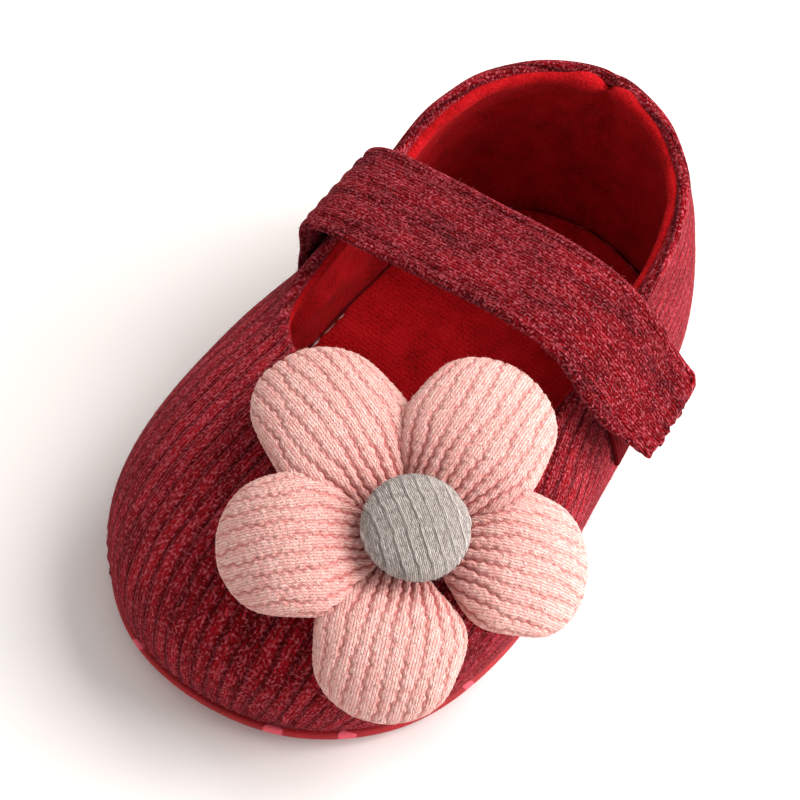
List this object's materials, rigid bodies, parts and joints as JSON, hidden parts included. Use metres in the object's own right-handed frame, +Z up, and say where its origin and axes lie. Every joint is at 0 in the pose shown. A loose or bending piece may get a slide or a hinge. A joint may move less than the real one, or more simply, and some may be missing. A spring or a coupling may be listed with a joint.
{
  "type": "baby shoe, soft bar shoe, left",
  "caption": "Soft knit bar shoe for a baby's left foot, with a plush lining, a hook-and-loop strap, a turned cloth sole and a padded five-petal flower on the vamp.",
  "frame": {"origin": "on the floor, under the middle of the sole's length and on its feather line's long axis", "axes": "+Z up from the floor, -Y towards the toe, +X towards the outer side of the foot"},
  "size_m": [0.0763, 0.1181, 0.0445],
  "materials": {
    "knit": "melange rib knit",
    "plush": "short plush pile",
    "sole_cloth": "smooth cloth with soft grip dabs",
    "petal_knit": "puffed rib knit",
    "button_knit": "fine rib jersey",
    "tape": "hook-and-loop tape"
  },
  "bodies": {
    "root": {"upper": "knit", "outsole": "sole_cloth", "insole": "plush", "strap": "knit", "hook_tape": "tape", "loop_tape": "tape", "petal_1": "petal_knit", "petal_2": "petal_knit", "petal_3": "petal_knit", "petal_4": "petal_knit", "petal_5": "petal_knit", "flower_button": "button_knit"}
  },
  "joints": []
}
